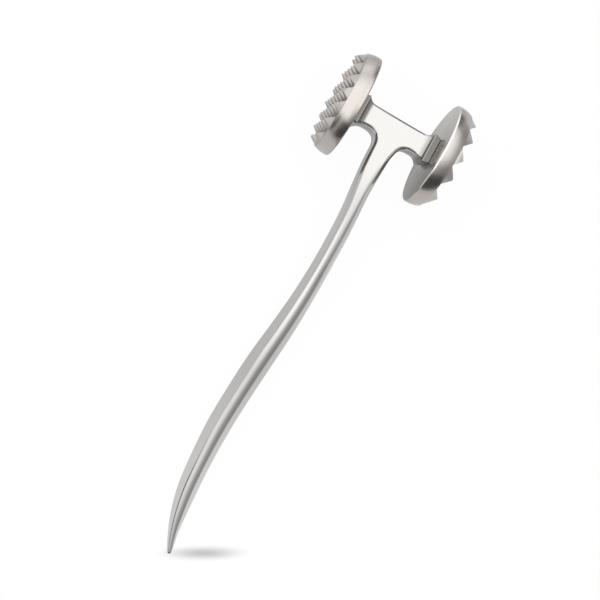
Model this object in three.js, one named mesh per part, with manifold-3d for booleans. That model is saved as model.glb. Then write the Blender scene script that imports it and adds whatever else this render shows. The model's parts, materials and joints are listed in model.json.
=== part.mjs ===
// A double-faced meat mallet lying on a table.
// A cast handle ends in a crossbar with a flared foot at each end, and each foot carries a round head:
// one with fine pyramid teeth, one with coarse ones. A threaded stud holds each head to its foot.
//
// Working frame of the mallet, before it is laid down: the crossbar runs along X with the fine head at -X,
// the handle runs from the crossbar towards -Y, and Z is the thickness of the casting, with the parting
// plane at Z = 0. All lengths are millimetres.
import * as THREE from 'three';
import { mergeVertices } from 'three/addons/utils/BufferGeometryUtils.js';
import Module from 'manifold-3d';

const wasm = await Module();
wasm.setup();

// Crossbar
const foot_span = 47.1;
const bar_half_height = 6.6;
const bar_half_thickness = 6.9;
const draft_inset = 0.7;
const edge_round = 0.9;

// Feet, which flare from the crossbar to a flange whose edge leans in towards the back of the head
const flare_radius = 6.4;
const flare_growth = 2.4;
const flange_thickness = 3.7;
const flange_lean = 1.2;

// Neck between crossbar and handle
const neck_half_width = 6.6;
const neck_fillet = 5.2;
const neck_end = 26.0;
const neck_end_inset = 0.5;

// Handle
const handle_reach = 249.0;
const handle_width = 13.75;
const handle_thickness = 14.0;
const handle_sway = 6.0;
const tip_length = 1.5;

// Heads
const head_radius = 28.6;
const head_depth = 13.0;
const rim_radius = 14.2;
const rim_centre_depth = 2.4;
const back_edge_radius = 0.5;
const tooth_circle_radius = 25.2;
const tooth_flat = 0.3;
const fine_pitch = 7.9;
const fine_tooth_width = 5.6;
const fine_tooth_height = 4.7;
const coarse_pitch = 10.9;
const coarse_tooth_width = 9.4;
const coarse_tooth_height = 4.9;

// Studs
const stud_radius = 4.0;
const stud_depth_in_head = 5.6;
const stud_depth_in_foot = 12.0;
const stud_chamfer = 0.8;
const stud_clearance = 0.3;

// Extra length by which a cutter runs past what it cuts
const overrun = 2.0;

// Stations down the handle, as shares of its reach, and what each has there: sideways place of the centre
// line as a share of handle_sway, width as a share of handle_width, one flat side facet as a share of half
// the width, and thickness as a share of handle_thickness.
const station_shares = [0.06, 0.0965, 0.1445, 0.193, 0.241, 0.321, 0.402, 0.482, 0.562, 0.643, 0.723,
  0.803, 0.863, 0.916, 0.956, 1.0];
const sway_shares = [-0.07, -0.07, -0.01, 0.14, 0.21, 0.20, 0.075, -0.195, -0.56, -0.83, -0.99,
  -0.925, -0.75, -0.42, -0.05, 0.54];
const width_shares = [0.89, 0.873, 0.78, 0.745, 0.745, 0.76, 0.83, 0.93, 0.995, 0.98, 0.95,
  0.865, 0.79, 0.615, 0.405, 0.18];
const facet_shares = [0.12, 0.15, 0.24, 0.33, 0.38, 0.45, 0.51, 0.55, 0.56, 0.56, 0.56,
  0.56, 0.56, 0.55, 0.52, 0.45];
const thickness_shares = [0.985, 0.985, 0.985, 0.985, 0.985, 0.985, 0.99, 1.0, 1.0, 0.98, 0.93,
  0.83, 0.69, 0.50, 0.33, 0.18];
// Height of the arris between a side facet and the nose, as a share of half the thickness.
const arris_share = 0.9;
// How flat the nose of the section is: a high power is flat, two is a plain crown. The crown is reached at
// this share of the handle's reach.
const neck_nose_power = 9;
const mid_nose_power = 2.2;
const nose_change_share = 0.45;
// The last ring of the tip is this share of the section behind the rounding.
const tip_blunt_share = 0.35;
// Length over which the direction of the centre line is taken, as a share of the handle's reach.
const direction_step_share = 0.004;

// Facets on each curve and round
const facets = {
  edge: 3, flare: 7, fillet: 8, body: 46, tip: 4, nose: 10, rim: 9, back_edge: 3, stud: 40, head: 64,
};
const lean_samples = 200;

const finishes = {
  casting: { colour: 0xc9c6c1, roughness: 0.18 },
  head: { colour: 0xb9b4ad, roughness: 0.38 },
  stud: { colour: 0x9a9a9a, roughness: 0.3 },
};

// Points and triangles of the skin between rings of equal point count, open at both ends.
function skin_rings(rings) {
  const count = rings[0].length;
  const positions = [];
  const index = [];
  for (const ring of rings) {
    for (const point of ring) positions.push(point.x, point.y, point.z);
  }
  for (let r = 0; r + 1 < rings.length; r += 1) {
    for (let k = 0; k < count; k += 1) {
      const next = (k + 1) % count;
      const a = r * count + k;
      const b = r * count + next;
      const c = (r + 1) * count + next;
      const d = (r + 1) * count + k;
      index.push(a, b, c, a, c, d);
    }
  }
  return { positions, index, count, last: (rings.length - 1) * count };
}

// The same skin closed at both ends, with the triangles of the outline that every ring follows.
function capped_geometry(rings, cap_triangles) {
  const skin = skin_rings(rings);
  for (const [a, b, c] of cap_triangles) {
    skin.index.push(c, b, a);
    skin.index.push(skin.last + a, skin.last + b, skin.last + c);
  }
  const geometry = new THREE.BufferGeometry();
  geometry.setAttribute('position', new THREE.Float32BufferAttribute(skin.positions, 3));
  geometry.setIndex(skin.index);
  return geometry;
}

// Triangles of a closed flat outline, as index triples.
function outline_triangles(outline) {
  return THREE.ShapeUtils.triangulateShape(outline, []);
}

// A manifold solid from any closed three.js geometry; one that came out inside out is turned round.
function solid_of(geometry) {
  const bare = geometry.clone();
  bare.deleteAttribute('normal');
  bare.deleteAttribute('uv');
  const merged = mergeVertices(bare);
  const indices = Array.from(merged.index.array);
  if (signed_volume(merged.attributes.position, indices) < 0) indices.reverse();
  const mesh = new wasm.Mesh({
    numProp: 3,
    vertProperties: new Float32Array(merged.attributes.position.array),
    triVerts: new Uint32Array(indices),
  });
  return new wasm.Manifold(mesh);
}

function signed_volume(position, indices) {
  const a = new THREE.Vector3();
  const b = new THREE.Vector3();
  const c = new THREE.Vector3();
  let total = 0;
  for (let k = 0; k < indices.length; k += 3) {
    a.fromBufferAttribute(position, indices[k]);
    b.fromBufferAttribute(position, indices[k + 1]);
    c.fromBufferAttribute(position, indices[k + 2]);
    total += a.dot(b.cross(c));
  }
  return total;
}

function geometry_of(solid) {
  const mesh = solid.getMesh();
  const geometry = new THREE.BufferGeometry();
  geometry.setAttribute('position', new THREE.BufferAttribute(new Float32Array(mesh.vertProperties), 3));
  geometry.setIndex(new THREE.BufferAttribute(new Uint32Array(mesh.triVerts), 1));
  return geometry;
}

// Heights through the thickness of the casting, each with how far its outline lies inside the parting
// outline: drafted sides up to the edge, then a quarter round to the flat face.
function drafted_layers(half_thickness) {
  const layers = [{ z: 0, inset: 0 }];
  for (let k = 0; k <= facets.edge; k += 1) {
    const angle = (k / facets.edge) * Math.PI / 2;
    layers.push({
      z: half_thickness - edge_round * (1 - Math.sin(angle)),
      inset: draft_inset + edge_round * (1 - Math.cos(angle)),
    });
  }
  const below = layers.slice(1).reverse().map(({ z, inset }) => ({ z: -z, inset }));
  return [...below, ...layers];
}

// Crossbar with both feet: drafted sections along X, growing on an arc at each end to a flange.
function crossbar_solid() {
  const face = foot_span / 2;
  const flare_end = face - flange_thickness;
  const right = [];
  for (let k = 0; k <= facets.flare; k += 1) {
    const along = (k / facets.flare) * flare_reach();
    const growth = flare_radius - Math.sqrt(flare_radius ** 2 - along ** 2);
    right.push({ x: flare_end - flare_reach() + along, growth });
  }
  right.push({ x: face, growth: flare_growth - flange_lean });
  const left = right.slice().reverse().map(({ x, growth }) => ({ x: -x, growth }));
  const rings = [...left, ...right].map(({ x, growth }) => bar_section(growth).map(
    (point) => new THREE.Vector3(x, point.x, point.y)));
  return solid_of(capped_geometry(rings, outline_triangles(bar_section(0))));
}

// Length along the bar over which an arc of flare_radius rises by flare_growth.
function flare_reach() {
  return Math.sqrt(flare_radius ** 2 - (flare_radius - flare_growth) ** 2);
}

// Outline of the bar across its length, in height and thickness, grown on all sides.
function bar_section(growth) {
  const layers = drafted_layers(bar_half_thickness + growth);
  const half_height = bar_half_height + growth;
  const right = layers.map(({ z, inset }) => new THREE.Vector2(half_height - inset, z));
  const left = layers.slice().reverse().map(({ z, inset }) => new THREE.Vector2(inset - half_height, z));
  return [...right, ...left];
}

// Neck: a drafted slab below the crossbar whose sides run out into the bar's underside on fillets.
function neck_solid() {
  const rings = drafted_layers(bar_half_thickness).map(({ z, inset }) => neck_outline(inset).map(
    (point) => new THREE.Vector3(point.x, point.y, z)));
  return solid_of(capped_geometry(rings, outline_triangles(neck_outline(0))));
}

// Outline of the neck, lying inside its parting outline by the inset; its end sinks into the handle.
function neck_outline(inset) {
  const underside = inset - bar_half_height;
  const end_share = neck_end / handle_reach;
  const end_half_width = station_value(width_shares, end_share) * handle_width / 2 - inset - neck_end_inset;
  const right = [];
  for (let k = 0; k <= facets.fillet; k += 1) {
    const angle = (k / facets.fillet) * Math.PI / 2;
    right.push(new THREE.Vector2(
      neck_half_width - inset + neck_fillet * (1 - Math.sin(angle)),
      underside - neck_fillet * (1 - Math.cos(angle)),
    ));
  }
  const left = right.slice().reverse().map((point) => new THREE.Vector2(-point.x, point.y));
  const end_x = handle_centre(end_share).x;
  const end = [-1, 1].map((side) => new THREE.Vector2(end_x + side * end_half_width, -neck_end));
  const top = [-1, 1].map((side) => new THREE.Vector2(side * right[0].x, 0));
  return [end[0], ...left, ...top, ...right, end[1]].reverse();
}

// Value between stations, on a smooth curve through them.
function station_value(shares, along) {
  const interpolant = new THREE.CubicInterpolant(station_shares, shares, 1);
  return interpolant.evaluate(along)[0];
}

// Centre line of the handle in the parting plane.
function handle_centre(along) {
  return new THREE.Vector2(station_value(sway_shares, along) * handle_sway, -along * handle_reach);
}

// Handle: sections square to the centre line, from inside the neck to the rounded tip.
function handle_solid() {
  const rings = [];
  const first_share = station_shares[0];
  const body_end_share = 1 - tip_length / handle_reach;
  for (let k = 0; k <= facets.body; k += 1) {
    const along = first_share + (k / facets.body) * (body_end_share - first_share);
    rings.push(handle_ring(along, 1));
  }
  for (let k = 1; k <= facets.tip; k += 1) {
    const angle = (k / facets.tip) * Math.acos(tip_blunt_share);
    const along = body_end_share + Math.sin(angle) * (1 - body_end_share);
    rings.push(handle_ring(along, Math.cos(angle)));
  }
  return solid_of(capped_geometry(rings, outline_triangles(handle_section(first_share, 1))));
}

// Section of the handle at a place on the centre line, turned square to it.
function handle_ring(along, size) {
  const centre = handle_centre(along);
  const ahead_share = Math.min(along + direction_step_share, 1);
  const ahead = handle_centre(ahead_share);
  const behind = handle_centre(ahead_share - 2 * direction_step_share);
  const direction = ahead.sub(behind).normalize();
  return handle_section(along, size).map((point) => new THREE.Vector3(
    centre.x - direction.y * point.x, centre.y + direction.x * point.x, point.y));
}

// Section of the handle: a parting edge on each side, a flat facet up to an arris, and a crowned nose.
function handle_section(along, size) {
  const half_width = size * station_value(width_shares, along) * handle_width / 2;
  const half_thickness = size * station_value(thickness_shares, along) * handle_thickness / 2;
  const arris_x = half_width * (1 - station_value(facet_shares, along));
  const arris_z = half_thickness * arris_share;
  const change = Math.min(1, along / nose_change_share);
  const power = neck_nose_power + (mid_nose_power - neck_nose_power) * Math.sqrt(change);
  const front = [new THREE.Vector2(half_width, 0)];
  for (let k = 0; k <= facets.nose; k += 1) {
    const across = Math.cos((k / facets.nose) * Math.PI);
    const crown = (half_thickness - arris_z) * (1 - Math.abs(across) ** power);
    front.push(new THREE.Vector2(arris_x * across, arris_z + crown));
  }
  const back = front.map((point) => new THREE.Vector2(-point.x, -point.y));
  return [...front, ...back];
}

// Round bar along X from one place to another, with chamfered ends if asked.
function round_bar(radius, from, to, chamfer) {
  const profile = [
    new THREE.Vector2(0, from),
    new THREE.Vector2(radius - chamfer, from),
    new THREE.Vector2(radius, from + chamfer),
    new THREE.Vector2(radius, to - chamfer),
    new THREE.Vector2(radius - chamfer, to),
    new THREE.Vector2(0, to),
  ];
  const kept = chamfer > 0 ? profile : [profile[0], profile[1], profile[4], profile[5]];
  return new THREE.LatheGeometry(kept, facets.stud).rotateZ(-Math.PI / 2);
}

// Casting: crossbar, neck and handle joined, with a blind bore for a stud in each foot.
function handle_geometry() {
  const bore_radius = stud_radius + stud_clearance;
  const bore_bottom = foot_span / 2 - stud_depth_in_foot - stud_clearance;
  let casting = crossbar_solid().add(neck_solid()).add(handle_solid());
  for (const side of [-1, 1]) {
    const bore = round_bar(bore_radius, bore_bottom, foot_span / 2 + overrun, 0);
    if (side < 0) bore.rotateY(Math.PI);
    casting = casting.subtract(solid_of(bore));
  }
  return geometry_of(casting);
}

// Radius of the crowned rim of a head at a depth from its back.
function rim_at(depth) {
  const bulge = head_radius - rim_radius;
  return bulge + Math.sqrt(rim_radius ** 2 - (depth - rim_centre_depth) ** 2);
}

// Profile of a head, as radius and depth, from the middle of its back to the middle of the flat its teeth
// stand on.
function head_profile(floor_depth) {
  const points = [new THREE.Vector2(0, 0)];
  const edge_centre = rim_at(back_edge_radius) - back_edge_radius;
  for (let k = 0; k <= facets.back_edge; k += 1) {
    const angle = (k / facets.back_edge) * Math.PI / 2;
    points.push(new THREE.Vector2(
      edge_centre + back_edge_radius * Math.sin(angle),
      back_edge_radius * (1 - Math.cos(angle)),
    ));
  }
  for (let k = 1; k <= facets.rim; k += 1) {
    const depth = back_edge_radius + (k / facets.rim) * (floor_depth - back_edge_radius);
    points.push(new THREE.Vector2(rim_at(depth), depth));
  }
  points.push(new THREE.Vector2(0, floor_depth));
  return points;
}

// Pyramid tooth on the axis of a head, with its foot sunk into the head so that the two join.
function tooth_geometry({ width, height }) {
  const sunk_height = height + overrun;
  const sunk_width = tooth_flat + (width - tooth_flat) * sunk_height / height;
  const tip_corner = tooth_flat * Math.SQRT1_2;
  const foot_corner = sunk_width * Math.SQRT1_2;
  const tooth = new THREE.CylinderGeometry(tip_corner, foot_corner, sunk_height, 4);
  return tooth.rotateY(Math.PI / 4).rotateZ(-Math.PI / 2).translate(head_depth - sunk_height / 2, 0, 0);
}

// Square rows of teeth with one on the axis of the head. The outer ones are trimmed by a cone that runs from
// the rim to the circle within which all the tips stand.
function teeth_solid(teeth) {
  const tooth = solid_of(tooth_geometry(teeth));
  const rows = Math.floor(tooth_circle_radius / teeth.pitch);
  const field = [];
  for (let row = -rows; row <= rows; row += 1) {
    for (let column = -rows; column <= rows; column += 1) {
      const place = [0, row * teeth.pitch, column * teeth.pitch];
      if (Math.hypot(...place) <= tooth_circle_radius) field.push(tooth.translate(place));
    }
  }
  const floor_depth = head_depth - teeth.height;
  const trim = new THREE.LatheGeometry([
    new THREE.Vector2(0, 0),
    new THREE.Vector2(rim_at(floor_depth), 0),
    new THREE.Vector2(rim_at(floor_depth), floor_depth),
    new THREE.Vector2(tooth_circle_radius, head_depth),
    new THREE.Vector2(0, head_depth),
  ], facets.head).rotateZ(-Math.PI / 2);
  return wasm.Manifold.union(field).intersect(solid_of(trim));
}

// Head with its back at x = 0 and its teeth towards +X.
function head_geometry(teeth) {
  const profile = head_profile(head_depth - teeth.height);
  const disc = new THREE.LatheGeometry(profile, facets.head).rotateZ(-Math.PI / 2);
  const bore = round_bar(stud_radius + stud_clearance, -overrun, stud_depth_in_head + stud_clearance, 0);
  return geometry_of(solid_of(disc).add(teeth_solid(teeth)).subtract(solid_of(bore)));
}

function stud_geometry() {
  return round_bar(stud_radius, -stud_depth_in_foot, stud_depth_in_head, stud_chamfer);
}

function named_mesh(name, geometry, { colour, roughness }) {
  const material = new THREE.MeshStandardMaterial({ color: colour, roughness, metalness: 1 });
  const mesh = new THREE.Mesh(geometry, material);
  mesh.name = name;
  return mesh;
}

// Angle by which the mallet leans when both rims and the underside of the handle touch the table.
function lying_angle() {
  let lowest = Infinity;
  for (let k = 0; k <= lean_samples; k += 1) {
    const along = station_shares[0] + (k / lean_samples) * (1 - station_shares[0]);
    const reach = along * handle_reach;
    const half_thickness = station_value(thickness_shares, along) * handle_thickness / 2;
    const arm = Math.hypot(reach, half_thickness);
    if (arm > head_radius) {
      lowest = Math.min(lowest, Math.asin(head_radius / arm) - Math.atan2(half_thickness, reach));
    }
  }
  return lowest;
}

// The mallet in its working frame, crossbar centre at the origin.
function mallet_group() {
  const group = new THREE.Group();
  group.add(named_mesh('handle', handle_geometry(), finishes.casting));
  const coarse = { pitch: coarse_pitch, width: coarse_tooth_width, height: coarse_tooth_height };
  const fine = { pitch: fine_pitch, width: fine_tooth_width, height: fine_tooth_height };
  const heads = [
    { name: 'coarse', teeth: coarse, side: 1 },
    { name: 'fine', teeth: fine, side: -1 },
  ];
  for (const { name, teeth, side } of heads) {
    const head = named_mesh(`${name}_tooth_head`, head_geometry(teeth), finishes.head);
    const stud = named_mesh(`${name}_head_stud`, stud_geometry(), finishes.stud);
    for (const piece of [head, stud]) {
      piece.position.x = side * foot_span / 2;
      piece.rotation.y = side > 0 ? 0 : Math.PI;
      group.add(piece);
    }
  }
  return group;
}

// Laid on the table: leaned, raised until the rims touch, and centred over the origin.
function laid_down(group) {
  group.rotation.x = lying_angle();
  const outer = new THREE.Group();
  outer.add(group);
  outer.updateMatrixWorld(true);
  const box = new THREE.Box3().setFromObject(outer, true);
  const centre = box.getCenter(new THREE.Vector3());
  outer.position.set(-centre.x, -centre.y, -box.min.z);
  return outer;
}

const mallet = laid_down(mallet_group());

export default mallet;
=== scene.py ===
"""Looks of a double-faced meat mallet: a polished cast handle with a flared crossbar, and two satin heads
with pyramid teeth, lying on a pale table in a light tent.

The pieces are modelled square to the casting, in the mallet's own frame: X along the crossbar with the fine
head at -X, the handle towards -Y, Z through the thickness. They are then laid down as the CAD model lies.
"""

import json
import math

import bmesh
import bpy
from mathutils import Euler, Matrix, Vector


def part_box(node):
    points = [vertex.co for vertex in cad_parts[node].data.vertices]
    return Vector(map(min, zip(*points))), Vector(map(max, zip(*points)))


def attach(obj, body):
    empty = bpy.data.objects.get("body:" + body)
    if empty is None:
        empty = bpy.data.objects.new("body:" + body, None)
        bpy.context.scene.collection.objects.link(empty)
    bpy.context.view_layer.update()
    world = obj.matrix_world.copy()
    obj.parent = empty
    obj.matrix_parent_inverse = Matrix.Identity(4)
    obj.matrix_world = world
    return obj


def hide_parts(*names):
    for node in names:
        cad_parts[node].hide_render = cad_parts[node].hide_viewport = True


bl_info = {
    "name": "Meat mallet",
    "version": (1, 0, 0),
    "blender": (4, 5, 0),
    "location": "View3D > Sidebar > Mallet",
    "description": "Builds a double-faced meat mallet and the table it lies on",
    "category": "Object",
}

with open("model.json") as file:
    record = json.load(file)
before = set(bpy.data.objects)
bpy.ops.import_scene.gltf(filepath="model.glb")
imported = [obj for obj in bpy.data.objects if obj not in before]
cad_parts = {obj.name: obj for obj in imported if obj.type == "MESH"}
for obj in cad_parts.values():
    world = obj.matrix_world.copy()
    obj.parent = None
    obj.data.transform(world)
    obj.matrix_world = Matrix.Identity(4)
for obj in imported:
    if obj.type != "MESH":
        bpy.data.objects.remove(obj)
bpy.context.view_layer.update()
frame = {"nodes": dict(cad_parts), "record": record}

MM = 0.001


def box_centre(node):
    low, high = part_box(node)
    return (low + high) / 2


def mount_axis(name):
    for mount in frame["record"]["mounts"]:
        if mount["name"] == name:
            return Vector(mount["axis"])
    raise RuntimeError(f"the packed record has no mount named {name}")


def lying_matrix():
    """From the mallet's own frame to the table: leaned about X, with its origin on the axis of the heads."""
    normal = mount_axis("crossbar_front")
    lean = math.atan2(-normal.y, normal.z)
    origin = (box_centre("fine_tooth_head") + box_centre("coarse_tooth_head")) / 2
    return Matrix.Translation(origin) @ Matrix.Rotation(lean, 4, "X")


# Stations down the handle, as shares of its reach. Each row is: place, sideways sway, width, side facet as
# a share of the half width, and thickness. The last four are shares of the handle's own sizes.
HANDLE_STATIONS = (
    (0.0600, -0.070, 0.900, 0.12, 0.985),
    (0.0965, -0.070, 0.873, 0.15, 0.985),
    (0.1445, -0.010, 0.780, 0.24, 0.985),
    (0.1930, 0.140, 0.745, 0.33, 0.985),
    (0.2410, 0.210, 0.745, 0.38, 0.985),
    (0.3210, 0.200, 0.760, 0.45, 0.985),
    (0.4020, 0.075, 0.830, 0.51, 0.990),
    (0.4820, -0.195, 0.930, 0.55, 1.000),
    (0.5620, -0.560, 0.995, 0.56, 1.000),
    (0.6430, -0.830, 0.980, 0.56, 0.980),
    (0.7230, -0.990, 0.950, 0.56, 0.930),
    (0.8030, -0.925, 0.865, 0.56, 0.830),
    (0.8630, -0.750, 0.790, 0.56, 0.690),
    (0.9160, -0.420, 0.615, 0.55, 0.500),
    (0.9560, -0.050, 0.405, 0.52, 0.330),
    (1.0000, 0.540, 0.180, 0.45, 0.180),
)
# The handle's heading is taken over this share of its reach, ahead and behind.
HEADING_SHARE = 0.004
# Size of the two rings that round the tip off, as shares of its own section.
TIP_RING_SHARES = (0.82, 0.45)
# Rings along the edge of a foot, as shares of its thickness: close together at its two corners.
FLANGE_RING_SHARES = (0.06, 0.5, 0.94, 1.0)

# Over these lengths past the first station, the neck's square section turns into the handle's and the right
# side drops to its low shoulder.
NECK_BLEND, SHOULDER_BLEND = 12 * MM, 8 * MM
# Places down the handle, from the crossbar's middle, between which the low shoulder runs out and the long
# edges go from soft to crisp.
SHOULDER_RUN = (55 * MM, 95 * MM)
LEFT_EDGE_RUN = (34 * MM, 100 * MM)
RIGHT_EDGE_RUN = (60 * MM, 110 * MM)
# Where the rounding gets less on the feet, as shares of half the foot span, and towards the tip, as shares
# of the reach. The rings that close the tip get none.
FOOT_RUN_SHARES, TIP_RUN_SHARES, CLOSING_SHARE = (0.58, 0.80), (0.75, 1.0), 0.985
# How much of the full rounding each of them takes off, and how much the parting line gets.
HANDLE_LOSS_SHARE, TIP_LOSS_SHARE, FOOT_LOSS_SHARE, PARTING_SHARE = 0.72, 0.2, 0.7, 0.3
# Power of the curve across the broad face: nearly flat at the neck, round from the end of the run on.
NECK_CROWN, HANDLE_CROWN, CROWN_RUN_SHARE = 9.0, 2.2, 0.22

# Soft ovals of shade on the table, in millimetres and degrees. Each one is: middle, turn, and half the
# length and width at which the shade has faded out.
TIP_OVAL = ((19.6, -130.2), 26.6, (27.5, 4.7))
BAR_OVAL = ((6.0, 98.0), 0.0, (45.0, 65.0))
FAR_OVAL = ((0.0, 215.0), 0.0, (130.0, 95.0))
TEETH_OVAL = ((-50.0, 108.0), 0.0, (32.0, 60.0))

# Cards and cloths hung round the mallet, in millimetres. Each row is: name, brightness, the two opposite
# corners of each sheet, the shades, as (axis, place, brightness there, place of full brightness), and the
# soft ends, as (axis, place where it is clear, place where it is solid). Two white cards hang over the
# heads, a white and a grey one stand beside them, and black cloths stand near, far and to the left.
CARDS = (
    ("low_white_card", 1.8, (((350, 90, 0), (350, 250, 120)),), (), (("Y", 90, 120),)),
    ("low_grey_card", 1.15, (((-350, 90, 0), (-350, 250, 140)),), (), (("Y", 90, 120),)),
    ("left_black_cloth", 0.12, (((-300, -500, 0), (-300, -170, 420)),), (),
     (("Y", -170, -240), ("Z", 420, 340))),
    ("left_white_card", 1.85, (((-300, -50, 170), (0, 360, 170)),), (("Y", 360, 0.5, 180),),
     (("Y", -50, 0), ("X", -300, -160), ("X", 0, -30))),
    ("right_white_card", 1.85, (((-30, 20, 171), (300, 360, 171)),),
     (("X", 140, 0.35, 40), ("Y", 360, 0.5, 180)), (("Y", 20, 90), ("X", -30, 0), ("X", 300, 200))),
    ("near_black_cloth", 0.08, (((-280, -500, 0), (800, -500, 500)), ((-280, -500, 1), (800, -240, 1))), (),
     (("X", -280, -80),)),
    ("far_black_cloth", 0.18, (((-10, 330, 0), (110, 330, 200)),), (), (("X", -10, 30), ("X", 110, 60))),
)


def length(name, description, millimetres):
    return bpy.props.FloatProperty(
        name=name, description=description, default=millimetres * MM, min=0.0, precision=5,
        subtype="DISTANCE", unit="LENGTH",
    )


def share(name, description, value):
    return bpy.props.FloatProperty(
        name=name, description=description, default=value, min=0.0, subtype="FACTOR")


def linear(hex_colour):
    """Linear colour from an sRGB hex value, with full alpha."""
    channels = []
    for k in (0, 2, 4):
        value = int(hex_colour[k:k + 2], 16) / 255
        channels.append(value / 12.92 if value <= 0.04045 else ((value + 0.055) / 1.055) ** 2.4)
    return (*channels, 1.0)


def colour(name, description, hex_colour):
    return bpy.props.FloatVectorProperty(
        name=name, description=description, default=linear(hex_colour), size=4, min=0.0, max=1.0,
        subtype="COLOR",
    )


class CastingSizes(bpy.types.PropertyGroup):
    foot_span: length("Foot span", "Length of the crossbar from foot to foot", 47.1)
    bar_half_height: length("Bar half height", "Half the height of the crossbar", 6.6)
    bar_half_thickness: length("Bar half thickness", "Half the thickness of the crossbar", 6.9)
    draft_inset: length("Draft inset", "How far the sides lean in from the parting line to the face", 0.7)
    edge_round: length("Edge round", "Width of the rounding on the long edges", 1.9)
    flare_radius: length("Flare radius", "Radius of the cove that leads into a foot", 6.4)
    flare_growth: length("Flare growth", "How far a foot stands out from the bar", 2.4)
    flange_thickness: length("Flange thickness", "Edge of a foot, against its head", 3.7)
    flange_lean: length("Flange lean", "How far the flange's edge leans in towards its head", 1.2)
    neck_half_width: length("Neck half width", "Half the width of the neck under the crossbar", 6.6)
    neck_fillet: length("Neck fillet", "Radius between neck and crossbar", 5.2)
    handle_reach: length("Handle reach", "From the crossbar's middle to the tip", 249.0)
    handle_width: length("Handle width", "Width of the handle at its widest", 13.75)
    handle_thickness: length("Handle thickness", "Thickness of the handle at its thickest", 14.0)
    handle_sway: length("Handle sway", "Sideways swing of the handle's S curve", 6.0)
    arris_share: share("Arris height", "Height of the long arris, as a share of half the thickness", 0.9)
    shoulder: share(
        "Shoulder", "How much lower the right arris is at the neck, as a share of half the thickness", 0.2)


class HeadSizes(bpy.types.PropertyGroup):
    radius: length("Head radius", "Radius of both heads", 28.6)
    depth: length("Head depth", "From the back of a head to the tips of its teeth", 13.0)
    rim_radius: length("Rim radius", "Radius of the crowned rim", 14.2)
    rim_centre_depth: length("Rim centre", "Depth at which the rim is widest", 2.4)
    back_edge: length("Back edge", "Rounding where the back meets the rim", 0.9)
    tooth_circle: length("Tooth circle", "Radius of the circle within which all the tips stand", 25.2)
    trim_radius: length("Trim radius", "Radius of the turned-off teeth, level with the tips", 23.9)
    ledge: length("Ledge", "Bare rim of the floor outside the teeth", 0.45)
    tooth_round: length("Tooth round", "Width of the rounding along the ridges of the teeth", 0.14)
    fine_pitch: length("Fine pitch", "Spacing of the fine teeth", 7.9)
    fine_width: length("Fine width", "Width of a fine tooth at its foot", 5.6)
    fine_height: length("Fine height", "Height of the fine teeth", 4.7)
    coarse_pitch: length("Coarse pitch", "Spacing of the coarse teeth", 10.9)
    coarse_width: length("Coarse width", "Width of a coarse tooth at its foot", 9.4)
    coarse_height: length("Coarse height", "Height of the coarse teeth", 4.9)


class StudSizes(bpy.types.PropertyGroup):
    radius: length("Stud radius", "Outer radius of the thread", 4.0)
    depth_in_head: length("Depth in head", "Length of stud inside the head", 5.6)
    depth_in_foot: length("Depth in foot", "Length of stud inside the foot", 12.0)
    gap: length("Gap", "Gap round a stud and at its ends", 0.3)


class FinishSettings(bpy.types.PropertyGroup):
    casting_colour: colour("Casting colour", "Polished cast steel", "BDBBB9")
    # Painted shade on the feet, where they meet the heads.
    foot_shade_colour: colour("Corner colour", "Unbuffed cast steel on the feet", "989897")
    # Painted light: the end of the handle goes lighter, standing in for its brighter reflections.
    tip_light_colour: colour("Worn colour", "Cast steel towards the tip, rubbed brighter by the hand", "CFCDCB")
    # Painted highlight on the back edge of the coarse head.
    edge_highlight_colour: colour("Edge colour", "Back edge of the coarse head, rubbed bright", "F2F0ED")
    head_colour: colour("Head colour", "Satin steel of the heads", "B9B4AF")
    stud_colour: colour("Stud colour", "Turned steel of the studs", "9E9E9C")
    casting_roughness: share("Casting roughness", "Roughness of the polished casting", 0.13)
    head_roughness: share("Head roughness", "Roughness of the satin heads", 0.24)


class StageSettings(bpy.types.PropertyGroup):
    floor_colour: colour("Table colour", "Pale matt table", "F6F6F5")
    floor_share: share("Table brightness", "Share of the table's brightness that no shadow darkens", 0.96)
    mirrored_level: share("Mirrored table", "Brightness of the table where the metal mirrors it", 0.93)
    tip_shade: share("Tip shade", "Darkness of the soft shade on the table beside the tip", 0.45)
    bar_shade: share("Bar shade", "Darkness that the metal mirrors under the crossbar", 0.6)
    far_shade: share("Far shade", "Darkness that the metal mirrors behind the heads", 0.32)
    teeth_shade: share("Teeth shade", "Darkness that the metal mirrors under the fine teeth", 0.75)
    floor_size: length("Table size", "Half the width of the table", 4000.0)
    floor_gap: length("Table gap", "Gap that keeps the table clear of the rims", 0.05)
    tent_radius: length("Tent radius", "Radius of the light tent over the table", 2500.0)
    tent_level: share("Tent brightness", "Brightness of the tent where its cloth is lit best", 1.6)
    box_size: length("Soft box size", "Width of the soft box overhead", 1500.0)
    box_height: length("Soft box height", "Height of the soft box over the table", 1100.0)
    box_left: length("Soft box left", "How far to the left the soft box hangs", 300.0)
    box_near: length("Soft box near", "How far to the near side the soft box hangs", 50.0)
    box_power: bpy.props.FloatProperty(
        name="Soft box power", description="Power of the soft box in watts", default=8.0, min=0.0,
        subtype="POWER", unit="POWER")
    ambient: share("Ambient light", "Strength of the even light from all round", 0.7)


def node(tree, kind, settings=None, **inputs):
    """Adds a shader node with its settings, and values or links for its inputs, by name or i and number."""
    made = tree.nodes.new(kind)
    for name, value in (settings or {}).items():
        setattr(made, name, value)
    for name, value in inputs.items():
        key = int(name[1:]) if name[0] == "i" and name[1:].isdigit() else name.replace("_", " ")
        if isinstance(value, bpy.types.NodeSocket):
            tree.links.new(value, made.inputs[key])
        else:
            made.inputs[key].default_value = value
    return made


def new_material(name):
    material = bpy.data.materials.new(name)
    material.use_nodes = True
    material.node_tree.nodes.clear()
    return material, material.node_tree


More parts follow.
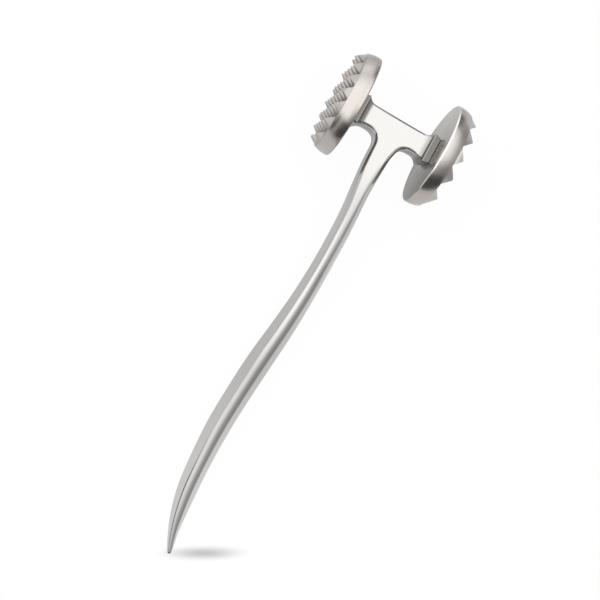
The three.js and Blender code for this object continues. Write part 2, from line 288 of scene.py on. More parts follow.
def ramp(tree, factor, stops):
    """Colour ramp of greys through (place, value) stops."""
    made = node(tree, "ShaderNodeValToRGB", Fac=factor)
    elements = made.color_ramp.elements
    while len(elements) < len(stops):
        elements.new(0.5)
    for element, (place, value) in zip(elements, stops):
        element.position = place
        element.color = (value, value, value, 1.0)
    return made.outputs["Color"]


# Stainless steel, investment cast, then belt-polished along its length and buffed. It gives a bright, nearly
# clear reflection that is drawn out a little across the belt lines, with faint cloudy unevenness.
def polished_cast_steel():
    finish = bpy.context.scene.mallet_finish
    material, tree = new_material("polished_cast_steel")
    place = node(tree, "ShaderNodeTexCoord").outputs["Object"]
    # Belt lines are about 0.12 mm across; they are drawn 0.4 mm across, running along Y.
    belt_line = 0.4 * MM
    stretched = node(tree, "ShaderNodeMapping", Vector=place, Scale=(1.0, 0.02, 1.0)).outputs["Vector"]
    lines = node(tree, "ShaderNodeTexNoise", Vector=stretched, Scale=1 / belt_line, Detail=2.0)
    # Clouds left by the buffing wheel.
    cloud = 9 * MM
    clouds = node(tree, "ShaderNodeTexNoise", Vector=place, Scale=1 / cloud, Detail=3.0)
    uneven = node(tree, "ShaderNodeMix", {"data_type": "FLOAT"}, Factor=0.4, i2=lines.outputs["Fac"],
                  i3=clouds.outputs["Fac"])
    rough = node(tree, "ShaderNodeMapRange", Value=uneven.outputs[0], From_Min=0.3, From_Max=0.7,
                 To_Min=finish.casting_roughness * 0.8, To_Max=finish.casting_roughness * 1.3)
    bump = node(tree, "ShaderNodeBump", Height=lines.outputs["Fac"], Strength=0.15, Distance=0.03 * MM)
    soft = node(tree, "ShaderNodeBump", Height=clouds.outputs["Fac"], Strength=0.25, Distance=0.05 * MM,
                Normal=bump.outputs["Normal"])
    # Painted shade on the feet behind their coves: they go darker from 16.2 to 17.8 mm out.
    buffed, shade_full = 16.2 * MM, 17.8 * MM
    across = node(tree, "ShaderNodeSeparateXYZ", Vector=place)
    out = node(tree, "ShaderNodeMath", {"operation": "ABSOLUTE"}, i0=across.outputs["X"])
    foot_shade_mask = node(tree, "ShaderNodeMapRange", Value=out.outputs[0], From_Min=buffed, From_Max=shade_full)
    # Painted light brightens the end of the handle, from 35 mm past the mallet's middle to 100 mm.
    light_start, painted_bright = -35 * MM, -100 * MM
    held = node(tree, "ShaderNodeMapRange", Value=across.outputs["Y"], From_Min=light_start, From_Max=painted_bright)
    tip_lit = node(tree, "ShaderNodeMix", {"data_type": "RGBA"}, i0=held.outputs["Result"],
                i6=finish.casting_colour, i7=finish.tip_light_colour)
    tint = node(tree, "ShaderNodeMix", {"data_type": "RGBA"}, i0=foot_shade_mask.outputs["Result"],
                i6=tip_lit.outputs[2], i7=finish.foot_shade_colour)
    shade = node(tree, "ShaderNodeBsdfPrincipled", Base_Color=tint.outputs[2], Metallic=1.0,
                 Roughness=rough.outputs["Result"], Normal=soft.outputs["Normal"])
    node(tree, "ShaderNodeOutputMaterial", Surface=shade.outputs["BSDF"])
    return material


# Stainless steel, cast with its teeth, turned on its rim and back, then bead blasted. It gives a soft satin
# sheen with a fine grain, painted shade in the corners between the teeth and a painted highlight on one
# edge.
def bead_blasted_steel():
    finish = bpy.context.scene.mallet_finish
    material, tree = new_material("bead_blasted_steel")
    place = node(tree, "ShaderNodeTexCoord").outputs["Object"]
    # Blast pits are about 0.05 mm; they are drawn 0.25 mm across so that the render can show them. The sweep
    # of the nozzle leaves clouds.
    pit, cloud = 0.25 * MM, 6 * MM
    pits = node(tree, "ShaderNodeTexNoise", Vector=place, Scale=1 / pit, Detail=3.0)
    clouds = node(tree, "ShaderNodeTexNoise", Vector=place, Scale=1 / cloud, Detail=2.0)
    rough = node(tree, "ShaderNodeMapRange", Value=clouds.outputs["Fac"], From_Min=0.3, From_Max=0.7,
                 To_Min=finish.head_roughness * 0.9, To_Max=finish.head_roughness * 1.12)
    tint = node(tree, "ShaderNodeMix", {"data_type": "RGBA", "blend_type": "MULTIPLY"}, i0=0.12,
                i6=finish.head_colour, i7=ramp(tree, pits.outputs["Fac"], ((0.35, 0.55), (0.65, 1.0))))
    # Painted shade in the corners between the teeth, where metal stands within 4 mm, and not on rim and
    # back.
    near, unshaded, toothy = 4 * MM, 29 * MM, 31 * MM
    axes = node(tree, "ShaderNodeSeparateXYZ", Vector=place)
    out = node(tree, "ShaderNodeMath", {"operation": "ABSOLUTE"}, i0=axes.outputs["X"])
    toothed = node(tree, "ShaderNodeMapRange", Value=out.outputs[0], From_Min=unshaded, From_Max=toothy)
    open_sky = node(tree, "ShaderNodeAmbientOcclusion", {"samples": 8}, Distance=near)
    corner_shade = node(tree, "ShaderNodeMix", {"data_type": "RGBA", "blend_type": "MULTIPLY"},
                 i0=toothed.outputs["Result"], i6=tint.outputs[2],
                 i7=ramp(tree, open_sky.outputs["AO"], ((0.5, 0.06), (0.88, 1.0))))
    # A painted highlight on the back edge of the coarse head: an arc on the rounding, 0.9 mm deep. It starts
    # just off the flat back and gets stronger towards the top.
    arc_start, arc_full, arc_end = 23.58 * MM, 24.2 * MM, 24.7 * MM
    arc_low, arc_high = 38 * MM, 52 * MM
    inner = node(tree, "ShaderNodeMath", {"operation": "GREATER_THAN"}, i0=axes.outputs["X"], i1=arc_start)
    ring = node(tree, "ShaderNodeMapRange", Value=axes.outputs["X"], From_Min=arc_end, From_Max=arc_full)
    upper = node(tree, "ShaderNodeMapRange", Value=axes.outputs["Z"], From_Min=arc_low, From_Max=arc_high)
    arc = node(tree, "ShaderNodeMath", {"operation": "MULTIPLY"}, i0=inner.outputs[0],
               i1=ring.outputs["Result"])
    painted_bright = node(tree, "ShaderNodeMath", {"operation": "MULTIPLY"}, i0=arc.outputs[0],
                  i1=upper.outputs["Result"])
    tone = node(tree, "ShaderNodeMix", {"data_type": "RGBA"}, i0=painted_bright.outputs[0], i6=corner_shade.outputs[2],
                i7=finish.edge_highlight_colour)
    bump = node(tree, "ShaderNodeBump", Height=pits.outputs["Fac"], Strength=0.22, Distance=0.03 * MM)
    shade = node(tree, "ShaderNodeBsdfPrincipled", Base_Color=tone.outputs[2], Metallic=1.0,
                 Roughness=rough.outputs["Result"], Normal=bump.outputs["Normal"])
    node(tree, "ShaderNodeOutputMaterial", Surface=shade.outputs["BSDF"])
    return material


# Free-cutting steel, turned, oiled and left unpolished: dull grey with fine rings round its axis.
def turned_steel():
    finish = bpy.context.scene.mallet_finish
    material, tree = new_material("turned_steel")
    place = node(tree, "ShaderNodeTexCoord").outputs["Object"]
    # Tool marks, one for each turn of the bar in the lathe.
    feed = 0.15 * MM
    rings = node(tree, "ShaderNodeMapping", Vector=place, Scale=(1.0, 0.02, 0.02)).outputs["Vector"]
    marks = node(tree, "ShaderNodeTexNoise", Vector=rings, Scale=1 / feed, Detail=2.0)
    rough = node(tree, "ShaderNodeMapRange", Value=marks.outputs["Fac"], To_Min=0.25, To_Max=0.42)
    bump = node(tree, "ShaderNodeBump", Height=marks.outputs["Fac"], Strength=0.2, Distance=0.02 * MM)
    shade = node(tree, "ShaderNodeBsdfPrincipled", Base_Color=finish.stud_colour, Metallic=1.0,
                 Roughness=rough.outputs["Result"], Normal=bump.outputs["Normal"])
    node(tree, "ShaderNodeOutputMaterial", Surface=shade.outputs["BSDF"])
    return material


def part_way(value, start, end):
    """Share of the way from start to end, held between 0 and 1."""
    return min(1.0, max(0.0, (value - start) / (end - start)))


def station_at(along):
    """Sway, width, facet and thickness at a share of the reach, on a smooth curve through the stations."""
    rows = HANDLE_STATIONS
    last = len(rows) - 2
    k = 0
    while k < last and along > rows[k + 1][0]:
        k += 1
    before, here, there, after = rows[max(k - 1, 0)], rows[k], rows[k + 1], rows[min(k + 2, last + 1)]
    span = there[0] - here[0]
    t = (along - here[0]) / span
    values = []
    for c in range(1, len(here)):
        slope_here = (there[c] - before[c]) / (there[0] - before[0]) * span
        slope_there = (after[c] - here[c]) / (after[0] - here[0]) * span
        values.append(
            (2 * t ** 3 - 3 * t ** 2 + 1) * here[c] + (t ** 3 - 2 * t ** 2 + t) * slope_here
            + (3 * t ** 2 - 2 * t ** 3) * there[c] + (t ** 3 - t ** 2) * slope_there)
    return values


def extrude_to(bm, faces):
    """Pulls a patch of faces out as a new ring and returns the patch and its points."""
    made = bmesh.ops.extrude_face_region(bm, geom=faces)["geom"]
    bmesh.ops.delete(bm, geom=faces, context="FACES")
    patch = [part for part in made if isinstance(part, bmesh.types.BMFace)]
    points = [part for part in made if isinstance(part, bmesh.types.BMVert)]
    return patch, points


def section_point(across, through, half_width, half_thickness, inset, arris_share, crown):
    """Point of a section from its grid place: sides lean in by the inset, the face is crowned."""
    arris = half_thickness * arris_share
    rise = (half_thickness - arris) * (1 - abs(across) ** crown)
    x = across * (half_width - inset * abs(through))
    z = through * arris + math.copysign(rise, through) * abs(through) ** 3 if through else 0.0
    return x, z


class MALLET_OT_casting(bpy.types.Operator):
    """Model the casting: crossbar, feet, neck and handle in one smooth skin"""

    bl_idname = "mallet.casting"
    bl_label = "Casting"

    def execute(self, context):
        sizes = context.scene.mallet_casting
        bm = bmesh.new()
        bmesh.ops.create_cube(bm, size=2.0)
        bmesh.ops.subdivide_edges(bm, edges=bm.edges[:], cuts=5, use_grid_fill=True)
        grid = bm.verts.layers.float_vector.new("grid")
        for vert in bm.verts:
            vert[grid] = vert.co
        sides = {
            "left": [f for f in bm.faces if f.normal.x < -0.5],
            "right": [f for f in bm.faces if f.normal.x > 0.5],
            "down": [f for f in bm.faces if f.normal.y < -0.5],
        }
        self.place_block(bm, grid, sizes)
        for side in ("left", "right"):
            self.pull_arm(bm, grid, sides[side], -1 if side == "left" else 1, sizes)
        self.pull_handle(bm, grid, sides["down"], sizes)
        weight = bm.edges.layers.float.new("bevel_weight_edge")
        for edge in bm.edges:
            edge[weight] = self.edge_weight(edge, grid, sizes)
        bmesh.ops.recalc_face_normals(bm, faces=bm.faces[:])
        casting = piece_from(bm, "handle_casting", polished_cast_steel())
        rounding = casting.modifiers.new("Rounding", "BEVEL")
        rounding.limit_method, rounding.width, rounding.segments = "WEIGHT", sizes.edge_round, 3
        rounding.use_clamp_overlap = False
        smooth = casting.modifiers.new("Smooth", "SUBSURF")
        smooth.levels = smooth.render_levels = 2
        drill = stud_drill()
        bores = casting.modifiers.new("Bores", "BOOLEAN")
        bores.operation, bores.solver, bores.object = "DIFFERENCE", "EXACT", drill
        apply_modifiers(casting)
        bpy.data.objects.remove(drill)
        finish_piece(casting, "handle")
        return {"FINISHED"}

    def place_block(self, bm, grid, sizes):
        corner = sizes.neck_half_width + sizes.neck_fillet * (1 - math.sin(math.pi / 4))
        drop = sizes.bar_half_height + sizes.neck_fillet * (1 - math.cos(math.pi / 4))
        for vert in bm.verts:
            gx, gy, gz = vert[grid]
            top = sizes.bar_half_height - sizes.draft_inset * abs(gz)
            low = -drop + sizes.draft_inset * abs(gz)
            side = corner - sizes.draft_inset * abs(gz) * (1 - gy) / 2
            vert.co = (gx * side, low + (top - low) * (gy + 1) / 2, gz * sizes.bar_half_thickness)

    def pull_arm(self, bm, grid, faces, side, sizes):
        fillet = sizes.neck_fillet
        face = sizes.foot_span / 2
        reach = math.sqrt(sizes.flare_radius ** 2 - (sizes.flare_radius - sizes.flare_growth) ** 2)
        start = face - sizes.flange_thickness - reach
        rings = []
        for turn in (math.pi / 8, 0.0):
            rings.append((sizes.neck_half_width + fillet * (1 - math.sin(turn)),
                          fillet * (1 - math.cos(turn)), 0.0))
        rings.append(((rings[-1][0] + start) / 2, 0.0, 0.0))
        steps = 6
        for k in range(steps + 1):
            along = k / steps * reach
            growth = sizes.flare_radius - math.sqrt(sizes.flare_radius ** 2 - along ** 2)
            rings.append((start + along, 0.0, growth))
        for along in FLANGE_RING_SHARES:
            rings.append((face - sizes.flange_thickness * (1 - along), 0.0,
                          sizes.flare_growth - sizes.flange_lean * along))
        for x, drop, growth in rings:
            faces, points = extrude_to(bm, faces)
            for vert in points:
                _, gy, gz = vert[grid]
                top = sizes.bar_half_height + growth - sizes.draft_inset * abs(gz)
                low = -sizes.bar_half_height - growth - drop + sizes.draft_inset * abs(gz)
                vert.co = (side * x, low + (top - low) * (gy + 1) / 2,
                           gz * (sizes.bar_half_thickness + growth))

    def pull_handle(self, bm, grid, faces, sizes):
        fillet = sizes.neck_fillet
        turn = math.pi * 3 / 8
        rings = [(sizes.bar_half_height + fillet * (1 - math.cos(turn)), fillet * (1 - math.sin(turn)))]
        rings.append((sizes.bar_half_height + fillet, 0.0))
        first = HANDLE_STATIONS[0][0] * sizes.handle_reach
        rings.append((first, None))
        steps = 58
        for k in range(1, steps + 1):
            rings.append((first + (sizes.handle_reach - first) * k / steps, None))
        for reach, flare in rings:
            faces, points = extrude_to(bm, faces)
            self.place_handle_ring(points, grid, reach, flare, sizes)
        for size in TIP_RING_SHARES:
            faces, points = extrude_to(bm, faces)
            self.place_handle_ring(points, grid, sizes.handle_reach, None, sizes, size)

    def place_handle_ring(self, points, grid, reach, flare, sizes, size=1.0):
        if flare is None:
            along = reach / sizes.handle_reach
            sway, width, facet, thickness = station_at(along)
            half_width = width * sizes.handle_width / 2
            centre = Vector((sway * sizes.handle_sway, -reach, 0.0))
            ahead = min(along + HEADING_SHARE, 1.0)
            behind = ahead - 2 * HEADING_SHARE
            direction = Vector((
                (station_at(ahead)[0] - station_at(behind)[0]) * sizes.handle_sway,
                -(ahead - behind) * sizes.handle_reach)).normalized()
            inset = half_width * facet
            half_thickness = thickness * sizes.handle_thickness / 2
            first = HANDLE_STATIONS[0][0] * sizes.handle_reach
            blend = part_way(reach, first, first + NECK_BLEND)
            arris = 1 + (sizes.arris_share - 1) * blend
            dropped = part_way(reach, first, first + SHOULDER_BLEND) * (1 - part_way(reach, *SHOULDER_RUN))
            shoulder = sizes.shoulder * dropped
            rounded = math.sqrt(part_way(along, 0.0, CROWN_RUN_SHARE))
            crown = NECK_CROWN + (HANDLE_CROWN - NECK_CROWN) * rounded
        else:
            half_width = sizes.neck_half_width + flare
            centre, direction = Vector((0.0, -reach, 0.0)), Vector((0.0, -1.0))
            inset, half_thickness = sizes.draft_inset, sizes.bar_half_thickness
            arris, crown, shoulder = 1.0, 2.0, 0.0
        for vert in points:
            gx, _, gz = vert[grid]
            side_arris = arris - shoulder if gx > 0 else arris
            x, z = section_point(gx, gz, half_width * size, half_thickness * size, inset * size,
                                 side_arris, crown)
            vert.co = (centre.x - direction.y * x, centre.y + direction.x * x, z)

    def edge_weight(self, edge, grid, sizes):
        """Share of the full rounding that an edge gets: full at the bar and neck, less down the handle."""
        a, b = (Vector(v[grid]) for v in edge.verts)
        corner = 0.99
        same_side = all(abs(p.y) > corner for p in (a, b)) and a.y * b.y > 0
        long_edge = same_side and (a.y > 0 or min(abs(a.x), abs(b.x)) > corner)
        reach = -sum(v.co.y for v in edge.verts) / 2
        along = reach / sizes.handle_reach
        if along > CLOSING_SHARE or not long_edge:
            return 0.0
        edge_run = RIGHT_EDGE_RUN if a.x > 0 else LEFT_EDGE_RUN
        down_handle, at_tip = part_way(reach, *edge_run), part_way(along, *TIP_RUN_SHARES)
        if min(abs(a.z), abs(b.z)) > corner and a.z * b.z > 0:
            out = max(abs(v.co.x) for v in edge.verts) / (sizes.foot_span / 2)
            at_foot = part_way(out, *FOOT_RUN_SHARES)
            return (1.0 - HANDLE_LOSS_SHARE * down_handle - TIP_LOSS_SHARE * at_tip
                    - FOOT_LOSS_SHARE * at_foot)
        if max(abs(a.z), abs(b.z)) < 1 - corner and a.y < 0:
            return PARTING_SHARE * down_handle * (1 - at_tip)
        return 0.0


def stud_drill():
    """Cutter for the two blind bores in the feet."""
    studs = bpy.context.scene.mallet_studs
    face = bpy.context.scene.mallet_casting.foot_span / 2
    bottom = face - studs.depth_in_foot - studs.gap
    overrun = 2 * MM
    bore_radius = studs.radius + studs.gap
    bm = bmesh.new()
    for side in (-1, 1):
        made = bmesh.ops.create_cone(bm, cap_ends=True, segments=48, radius1=bore_radius,
                                     radius2=bore_radius, depth=face + overrun - bottom)
        middle = side * (face + overrun + bottom) / 2
        bmesh.ops.transform(bm, verts=made["verts"], matrix=Matrix.Translation((middle, 0, 0))
                            @ Matrix.Rotation(math.pi / 2, 4, "Y"))
    mesh = bpy.data.meshes.new("drill")
    bm.to_mesh(mesh)
    bm.free()
    drill = bpy.data.objects.new("drill", mesh)
    bpy.context.scene.collection.objects.link(drill)
    return drill


def piece_from(bm, name, material):
    """Object at the origin from a bmesh in the mallet's own frame."""
    mesh = bpy.data.meshes.new(name)
    bm.to_mesh(mesh)
    bm.free()
    mesh.materials.append(material)
    made = bpy.data.objects.new(name, mesh)
    bpy.context.scene.collection.objects.link(made)
    return made


def apply_modifiers(piece):
    shown = piece.evaluated_get(bpy.context.evaluated_depsgraph_get())
    mesh = bpy.data.meshes.new_from_object(shown)
    mesh.name = piece.name
    piece.modifiers.clear()
    old = piece.data
    piece.data = mesh
    bpy.data.meshes.remove(old)


def finish_piece(piece, cad_node, sharp_degrees=30.0):
    """Lays the piece down as the mallet lies, shades it and ties it to the frame."""
    piece.data.transform(lying_matrix())
    piece.data.shade_smooth()
    piece.data.set_sharp_from_angle(angle=math.radians(sharp_degrees))
    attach(piece, "root")
    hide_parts(cad_node)


def rim_at(sizes, depth):
    """Radius of the crowned rim at a depth from the back of a head."""
    bulge = sizes.radius - sizes.rim_radius
    return bulge + math.sqrt(sizes.rim_radius ** 2 - (depth - sizes.rim_centre_depth) ** 2)


def turned(section):
    """Body spun about X from a half section of (x, radius) points that starts and ends on the axis."""
    bm = bmesh.new()
    verts = [bm.verts.new((x, r, 0.0)) for x, r in section]
    edges = [bm.edges.new(pair) for pair in zip(verts, verts[1:])]
    bmesh.ops.spin(bm, geom=verts + edges, cent=(0, 0, 0), axis=(1, 0, 0), angle=2 * math.pi, steps=160,
                   use_merge=True)
    bmesh.ops.remove_doubles(bm, verts=bm.verts[:], dist=0.001 * MM)
    bmesh.ops.recalc_face_normals(bm, faces=bm.faces[:])
    return bm


def head_blank(sizes, height):
    """Turned disc: its back at x = 0, a crowned rim, a ledge and a cone up to the tips of the teeth."""
    studs = bpy.context.scene.mallet_studs
    bore_depth, bore_radius = studs.depth_in_head + studs.gap, studs.radius + studs.gap
    rim_steps, edge_steps = 26, 4
    # The blank's ledge stands a hair above the floor of the teeth, so that the cut has no two faces in one
    # plane.
    hair = 0.02 * MM
    floor_depth = sizes.depth - height
    ledge_depth = floor_depth + hair
    section = [(bore_depth, 0.0), (bore_depth, bore_radius), (0.0, bore_radius)]
    edge_centre = rim_at(sizes, sizes.back_edge) - sizes.back_edge
    for k in range(edge_steps + 1):
        turn = k / edge_steps * math.pi / 2
        section.append((sizes.back_edge * (1 - math.cos(turn)),
                        edge_centre + sizes.back_edge * math.sin(turn)))
    for k in range(1, rim_steps + 1):
        depth = sizes.back_edge + k / rim_steps * (ledge_depth - sizes.back_edge)
        section.append((depth, rim_at(sizes, depth)))
    section.append((ledge_depth, rim_at(sizes, floor_depth) - sizes.ledge))
    section.append((sizes.depth, sizes.trim_radius))
    section.append((sizes.depth, 0.0))
    return turned(section)


def tooth_block(sizes, pitch, width, height):
    """Block with pyramids on its front: a square is inset and poked for each tooth inside the circle."""
    bm = bmesh.new()
    cells = 2 * math.ceil(sizes.radius / pitch) + 1
    bmesh.ops.create_grid(bm, x_segments=cells, y_segments=cells, size=cells * pitch / 2)
    standing = [f for f in bm.faces if f.calc_center_median().length <= sizes.tooth_circle]
    bmesh.ops.inset_individual(bm, faces=standing, thickness=(pitch - width) / 2)
    tips = bmesh.ops.poke(bm, faces=standing, offset=height)["verts"]
    ridges = [e for e in bm.edges if set(tips).intersection(e.verts)]
    bmesh.ops.bevel(bm, geom=ridges, offset=sizes.tooth_round, segments=2, profile=0.5, affect="EDGES",
                    material=-1)
    top = max(v.co.z for v in bm.verts)
    kept = bmesh.ops.extrude_face_region(bm, geom=bm.faces[:], use_keep_orig=True)["geom"]
    for vert in kept:
        if isinstance(vert, bmesh.types.BMVert):
            vert.co.z = -sizes.depth
    bmesh.ops.recalc_face_normals(bm, faces=bm.faces[:])
    bmesh.ops.transform(bm, verts=bm.verts[:], matrix=Matrix.Rotation(math.pi / 2, 4, "Y")
                        @ Matrix.Translation((0, 0, sizes.depth - top)))
    return bm


class MALLET_OT_heads(bpy.types.Operator):
    """Model the fine-toothed and the coarse-toothed head"""

    bl_idname = "mallet.heads"
    bl_label = "Heads"

    def execute(self, context):
        sizes = context.scene.mallet_heads
        material = bead_blasted_steel()
        teeth = {
            "fine": (-1, sizes.fine_pitch, sizes.fine_width, sizes.fine_height),
            "coarse": (1, sizes.coarse_pitch, sizes.coarse_width, sizes.coarse_height),
        }
        face = context.scene.mallet_casting.foot_span / 2
        for kind, (side, pitch, width, height) in teeth.items():
            head = piece_from(head_blank(sizes, height), f"{kind}_tooth_head_turned", material)
            block = piece_from(tooth_block(sizes, pitch, width, height), "tooth_block", material)
            cut = head.modifiers.new("Teeth", "BOOLEAN")
            cut.operation, cut.solver, cut.object = "INTERSECT", "EXACT", block
            apply_modifiers(head)
            bpy.data.objects.remove(block)
            turn = Matrix.Identity(4) if side > 0 else Matrix.Rotation(math.pi, 4, "Z")
            head.data.transform(Matrix.Translation((side * face, 0, 0)) @ turn)
            finish_piece(head, f"{kind}_tooth_head", sharp_degrees=28.0)
        return {"FINISHED"}


class MALLET_OT_studs(bpy.types.Operator):
    """Finish the two studs that hold the heads"""

    bl_idname = "mallet.studs"
    bl_label = "Studs"

    def execute(self, context):
        material = turned_steel()
        for name in ("fine_head_stud", "coarse_head_stud"):
            stud = frame["nodes"][name]
            stud.data.materials.clear()
            stud.data.materials.append(material)
        return {"FINISHED"}


def oval_of_shade(tree, place, oval, depth):
    """Level that is 1 outside a soft oval on the table and darker by the depth in its middle."""
    middle, turn, half_sizes = oval
    mapped = node(tree, "ShaderNodeMapping", {"vector_type": "TEXTURE"}, Vector=place,
                  Location=(middle[0] * MM, middle[1] * MM, 0.0),
                  Rotation=(0.0, 0.0, math.radians(turn)),
                  Scale=(half_sizes[0] * MM, half_sizes[1] * MM, 1.0))
    spread = node(tree, "ShaderNodeVectorMath", {"operation": "LENGTH"}, i0=mapped.outputs["Vector"])
    level = node(tree, "ShaderNodeMapRange", {"interpolation_type": "SMOOTHSTEP"},
                 Value=spread.outputs["Value"], To_Min=1.0 - depth, To_Max=1.0)
    return level.outputs["Result"]


# Matt white laminate, lit so evenly that it looks like white paper with hardly a shadow. A soft oval of
# shade beside the tip shows on it. The other three ovals are only mirrored in the metal: they stand for the
# mallet's own shade under the crossbar and the fine teeth, and for the darker room behind the heads.
def pale_laminate():
    stage = bpy.context.scene.mallet_stage
    material, tree = new_material("pale_laminate")
    matt = node(tree, "ShaderNodeBsdfDiffuse", Color=stage.floor_colour)
    place = node(tree, "ShaderNodeTexCoord").outputs["Object"]
    beside_tip = oval_of_shade(tree, place, TIP_OVAL, stage.tip_shade)
    under_bar = oval_of_shade(tree, place, BAR_OVAL, stage.bar_shade)
    behind_heads = oval_of_shade(tree, place, FAR_OVAL, stage.far_shade)
    under_teeth = oval_of_shade(tree, place, TEETH_OVAL, stage.teeth_shade)
    path = node(tree, "ShaderNodeLightPath")
    around = node(tree, "ShaderNodeMath", {"operation": "MULTIPLY"}, i0=under_teeth, i1=behind_heads)
    shaded = node(tree, "ShaderNodeMath", {"operation": "MULTIPLY"}, i0=under_bar, i1=around.outputs[0])
    metal_sees = node(tree, "ShaderNodeMath", {"operation": "MULTIPLY"}, i0=shaded.outputs[0],
                      i1=stage.mirrored_level)
    mirrored = node(tree, "ShaderNodeMapRange", Value=path.outputs["Is Glossy Ray"], To_Min=1.0,
                    To_Max=metal_sees.outputs[0])
    level = node(tree, "ShaderNodeMath", {"operation": "MULTIPLY"}, i0=beside_tip,
                 i1=mirrored.outputs["Result"])
    glow = node(tree, "ShaderNodeEmission", Color=(1.0, 1.0, 1.0, 1.0), Strength=level.outputs[0])
    seen = node(tree, "ShaderNodeMath", {"operation": "MAXIMUM"}, i0=path.outputs["Is Camera Ray"],
                i1=path.outputs["Is Glossy Ray"])
    part = node(tree, "ShaderNodeMath", {"operation": "MULTIPLY"}, i0=seen.outputs[0], i1=stage.floor_share)
    both = node(tree, "ShaderNodeMixShader", i0=part.outputs[0], i1=matt.outputs[0], i2=glow.outputs[0])
    node(tree, "ShaderNodeOutputMaterial", Surface=both.outputs[0])
    return material


def faded(tree, place, level, fades):
    """Level times a fade for each (axis, start, value there, end where it is full), in millimetres."""
    axes = node(tree, "ShaderNodeSeparateXYZ", Vector=place)
    for axis, start, value, end in fades:
        fade = node(tree, "ShaderNodeMapRange", Value=axes.outputs[axis], From_Min=start * MM,
                    From_Max=end * MM, To_Min=value, To_Max=1.0)
        level = node(tree, "ShaderNodeMath", {"operation": "MULTIPLY"}, i0=level,
                     i1=fade.outputs["Result"]).outputs[0]
    return level


# White tent cloth, lit from the far left and falling off to a dark room at the right and on the near side.
# Only reflections see it, and it draws the soft bright and dark bands on the handle.
def tent_cloth():
    stage = bpy.context.scene.mallet_stage
    material, tree = new_material("tent_cloth")
    place = node(tree, "ShaderNodeTexCoord").outputs["Object"]
    outward = node(tree, "ShaderNodeVectorMath", {"operation": "NORMALIZE"}, i0=place)
    sides = node(tree, "ShaderNodeSeparateXYZ", Vector=outward.outputs["Vector"])
    across = node(tree, "ShaderNodeMapRange", Value=sides.outputs["X"], From_Min=-1.0, From_Max=1.0)
    along = node(tree, "ShaderNodeMapRange", Value=sides.outputs["Y"], From_Min=-1.0, From_Max=1.0)
    left = ramp(tree, across.outputs["Result"], (
        (0.0, 0.52), (0.20, 0.68), (0.27, 0.90), (0.42, 0.86), (0.50, 0.74), (0.56, 0.58), (0.64, 0.40),
        (0.75, 0.30), (0.85, 0.26), (1.0, 0.36)))
    far = ramp(tree, along.outputs["Result"], (
        (0.07, 0.50), (0.20, 0.70), (0.35, 0.88), (0.45, 1.0), (0.55, 1.0)))
    both = node(tree, "ShaderNodeMath", {"operation": "MULTIPLY"}, i0=left, i1=far)
    bright = node(tree, "ShaderNodeMath", {"operation": "MULTIPLY"}, i0=both.outputs[0],
                  i1=stage.tent_level)
    glow = node(tree, "ShaderNodeEmission", Color=(1.0, 1.0, 1.0, 1.0), Strength=bright.outputs[0])
    node(tree, "ShaderNodeOutputMaterial", Surface=glow.outputs[0])
    return material


# Lit card or black cloth hung near the mallet, with ends that go soft. Only reflections see it.
def hung_cloth(name, brightness, shades, ends):
    material, tree = new_material(name)
    place = node(tree, "ShaderNodeTexCoord").outputs["Object"]
    glow = node(tree, "ShaderNodeEmission", Color=(1.0, 1.0, 1.0, 1.0),
                Strength=faded(tree, place, brightness, shades))
    clear = node(tree, "ShaderNodeBsdfTransparent")
    solid = faded(tree, place, 1.0, [(axis, start, 0.0, end) for axis, start, end in ends])
    both = node(tree, "ShaderNodeMixShader", i0=solid, i1=clear.outputs[0], i2=glow.outputs[0])
    node(tree, "ShaderNodeOutputMaterial", Surface=both.outputs[0])
    return material


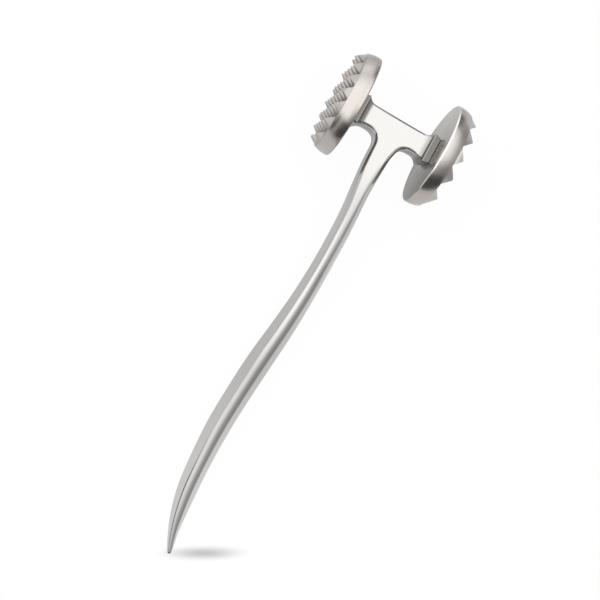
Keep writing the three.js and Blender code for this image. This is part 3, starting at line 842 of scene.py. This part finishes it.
class MALLET_OT_stage(bpy.types.Operator):
    """Set out the table, the lights and the camera"""

    bl_idname = "mallet.stage"
    bl_label = "Stage"

    def execute(self, context):
        stage = context.scene.mallet_stage
        bm = bmesh.new()
        bmesh.ops.create_grid(bm, x_segments=2, y_segments=2, size=stage.floor_size)
        bmesh.ops.translate(bm, verts=bm.verts[:], vec=(0, 0, -stage.floor_gap))
        table = piece_from(bm, "table", pale_laminate())
        self.hang_tent(stage)
        self.hang_cards()
        self.hang_soft_box(context, stage)
        self.light_room(context, stage)
        self.set_camera(context)
        context.scene.view_settings.view_transform = "Standard"
        return {"FINISHED"}

    def hang_tent(self, stage):
        bm = bmesh.new()
        bmesh.ops.create_icosphere(bm, subdivisions=4, radius=stage.tent_radius)
        bmesh.ops.bisect_plane(bm, geom=bm.verts[:] + bm.edges[:] + bm.faces[:], plane_co=(0, 0, 0),
                               plane_no=(0, 0, -1), clear_outer=True)
        self.show_in_reflections(piece_from(bm, "tent", tent_cloth()))

    def hang_cards(self):
        for name, brightness, sheets, shades, ends in CARDS:
            material = hung_cloth(name, brightness, shades, ends)
            for low, high in sheets:
                self.hang_sheet(material, Vector(low) * MM, Vector(high) * MM)

    def hang_sheet(self, material, low, high):
        """Flat sheet between two opposite corners, level or upright."""
        bm = bmesh.new()
        bmesh.ops.create_grid(bm, x_segments=1, y_segments=1, size=0.5)
        if high.z > low.z:
            axis = "X" if high.x > low.x else "Y"
            bmesh.ops.rotate(bm, verts=bm.verts[:], matrix=Matrix.Rotation(math.pi / 2, 3, axis))
        bmesh.ops.scale(bm, verts=bm.verts[:], vec=high - low)
        bmesh.ops.translate(bm, verts=bm.verts[:], vec=(low + high) / 2)
        self.show_in_reflections(piece_from(bm, material.name, material))

    def show_in_reflections(self, card):
        card.visible_camera = card.visible_diffuse = card.visible_shadow = False

    def hang_soft_box(self, context, stage):
        lamp = bpy.data.lights.new("soft_box", "AREA")
        lamp.shape = "SQUARE"
        lamp.size = stage.box_size
        lamp.energy = stage.box_power
        box = bpy.data.objects.new("soft_box", lamp)
        box.location = (-stage.box_left, -stage.box_near, stage.box_height)
        box.rotation_mode = "QUATERNION"
        box.rotation_quaternion = (-Vector(box.location)).to_track_quat("-Z", "Y")
        box.visible_glossy = False
        context.scene.collection.objects.link(box)

    def light_room(self, context, stage):
        world = bpy.data.worlds.new("room")
        world.use_nodes = True
        tree = world.node_tree
        tree.nodes.clear()
        path = node(tree, "ShaderNodeLightPath")
        seen = node(tree, "ShaderNodeMath", {"operation": "MAXIMUM"}, i0=path.outputs["Is Camera Ray"],
                    i1=path.outputs["Is Glossy Ray"])
        level = node(tree, "ShaderNodeMapRange", Value=seen.outputs[0], To_Min=stage.ambient, To_Max=1.0)
        light = node(tree, "ShaderNodeBackground", Color=(1.0, 1.0, 1.0, 1.0),
                     Strength=level.outputs["Result"])
        node(tree, "ShaderNodeOutputWorld", Surface=light.outputs[0])
        context.scene.world = world

    def set_camera(self, context):
        camera = bpy.data.objects.new("camera", bpy.data.cameras.new("camera"))
        camera.data.lens = 69.96
        camera.data.sensor_width = 36.0
        camera.data.clip_start = 10 * MM
        # Its place and its turns about X, Y and Z in degrees, in the mallet's own frame. They were fitted to
        # the outlines of the heads, the crossbar and the handle.
        place, turns = (-92.1, -129.6, 601.0), (-1.901, -8.894, 28.993)
        facing = Euler([math.radians(turn) for turn in turns]).to_matrix().to_4x4()
        camera.matrix_world = lying_matrix() @ Matrix.Translation(Vector(place) * MM) @ facing
        context.scene.collection.objects.link(camera)
        context.scene.camera = camera


class MALLET_PT_panel(bpy.types.Panel):
    """Sidebar panel with the mallet's pieces and sizes"""

    bl_idname = "MALLET_PT_panel"
    bl_label = "Meat mallet"
    bl_space_type = "VIEW_3D"
    bl_region_type = "UI"
    bl_category = "Mallet"

    def draw(self, context):
        for operator in OPERATORS:
            self.layout.operator(operator.bl_idname)
        for group in GROUPS:
            settings = getattr(context.scene, group)
            box = self.layout.box()
            for name in settings.bl_rna.properties.keys():
                if name not in ("rna_type", "name"):
                    box.prop(settings, name)


GROUPS = {
    "mallet_casting": CastingSizes,
    "mallet_heads": HeadSizes,
    "mallet_studs": StudSizes,
    "mallet_finish": FinishSettings,
    "mallet_stage": StageSettings,
}
OPERATORS = (MALLET_OT_casting, MALLET_OT_heads, MALLET_OT_studs, MALLET_OT_stage)


def register():
    for group in GROUPS.values():
        bpy.utils.register_class(group)
    for name, group in GROUPS.items():
        setattr(bpy.types.Scene, name, bpy.props.PointerProperty(type=group))
    for operator in OPERATORS:
        bpy.utils.register_class(operator)
    bpy.utils.register_class(MALLET_PT_panel)


def unregister():
    bpy.utils.unregister_class(MALLET_PT_panel)
    for operator in reversed(OPERATORS):
        bpy.utils.unregister_class(operator)
    for name, group in GROUPS.items():
        delattr(bpy.types.Scene, name)
        bpy.utils.unregister_class(group)


def main():
    register()
    bpy.ops.mallet.casting()
    bpy.ops.mallet.heads()
    bpy.ops.mallet.studs()
    bpy.ops.mallet.stage()


if __name__ == "__main__":
    main()
